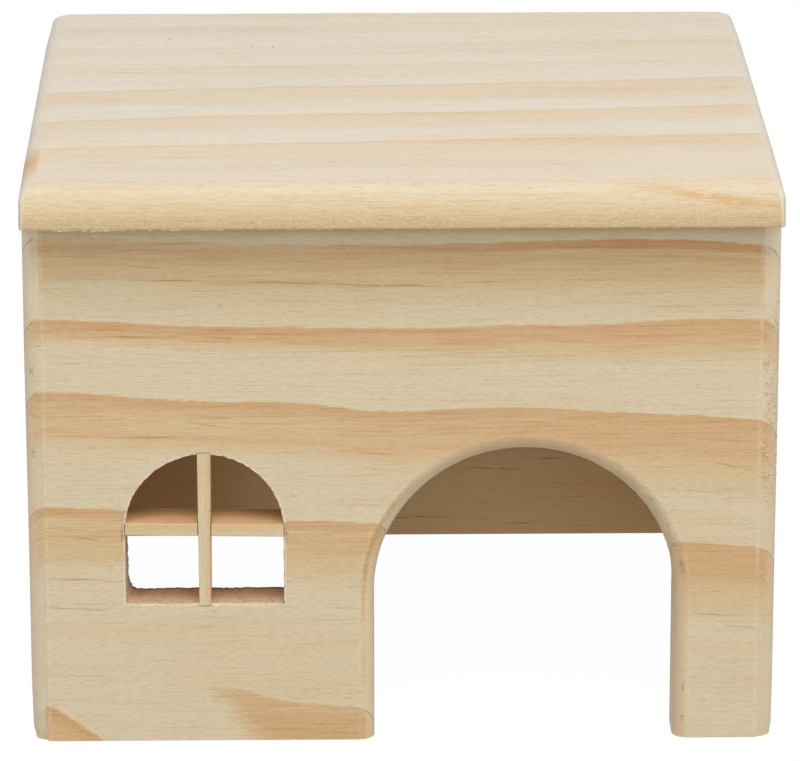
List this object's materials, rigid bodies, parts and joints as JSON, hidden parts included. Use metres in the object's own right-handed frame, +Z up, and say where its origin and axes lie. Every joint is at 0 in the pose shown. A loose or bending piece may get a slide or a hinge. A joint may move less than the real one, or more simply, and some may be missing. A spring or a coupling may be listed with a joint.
{
  "type": "wooden hamster house",
  "caption": "Small solid-pine shelter for a hamster: four walls and a flat roof board, an arched doorway and an arched window with crossed glazing bars, open to the ground.",
  "frame": {"origin": "on the ground, under the middle of the roof board", "axes": "+Z up, the front with the doorway faces -Y, +X to the right as seen from the front"},
  "size_m": [0.15, 0.15, 0.1168],
  "materials": {
    "front_pine": "raw pine, planed and sanded, rings running across the panel",
    "wall_pine": "raw pine, planed and sanded",
    "roof_pine": "raw pine, planed face, sanded round-over",
    "bar_pine": "raw pine strip, sawn and lightly sanded",
    "dowel_beech": "raw beech rod"
  },
  "bodies": {
    "root": {"front_panel": "front_pine", "back_panel": "wall_pine", "left_side_panel": "wall_pine", "right_side_panel": "wall_pine", "roof_board": "roof_pine", "window_upright": "bar_pine", "window_crossbar": "bar_pine", "front_left_dowels": "dowel_beech", "front_right_dowels": "dowel_beech", "back_left_dowels": "dowel_beech", "back_right_dowels": "dowel_beech", "roof_left_dowels": "dowel_beech", "roof_right_dowels": "dowel_beech"}
  },
  "joints": []
}
